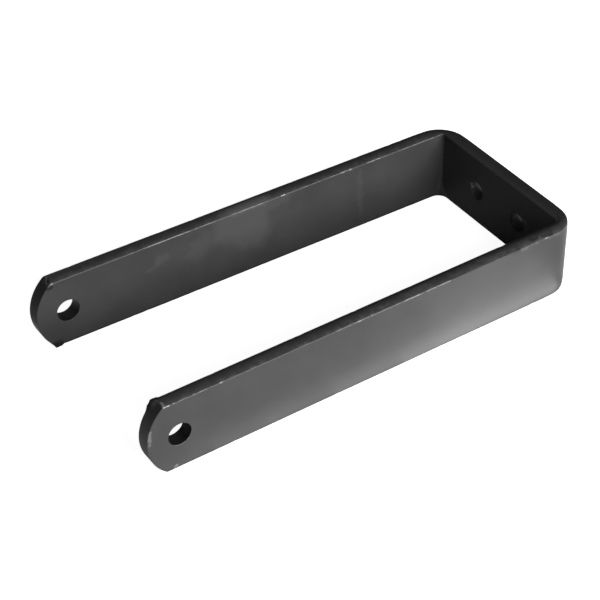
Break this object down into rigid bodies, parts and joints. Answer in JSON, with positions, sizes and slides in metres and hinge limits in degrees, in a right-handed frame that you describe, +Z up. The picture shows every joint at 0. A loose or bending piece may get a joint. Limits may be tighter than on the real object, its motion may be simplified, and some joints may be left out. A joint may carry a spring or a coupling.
{
  "type": "leaf spring clamp",
  "caption": "U-shaped strap bent from flat bar, with rounded ears holed for a cross bolt and rivet holes in its web, that keeps a stack of spring leaves in line.",
  "frame": {"origin": "middle of the box round the part, at its foot: the clamp lies on the edge of its bar", "axes": "+X from the ears to the web, +Y across the legs, +Z up along the width of the bar"},
  "size_m": [0.25, 0.1156, 0.04],
  "materials": {
    "satin_black_paint": "satin black paint on hot rolled steel, rubbed bright along some edges"
  },
  "bodies": {
    "root": {"clamp_strap": "satin_black_paint"}
  },
  "joints": []
}
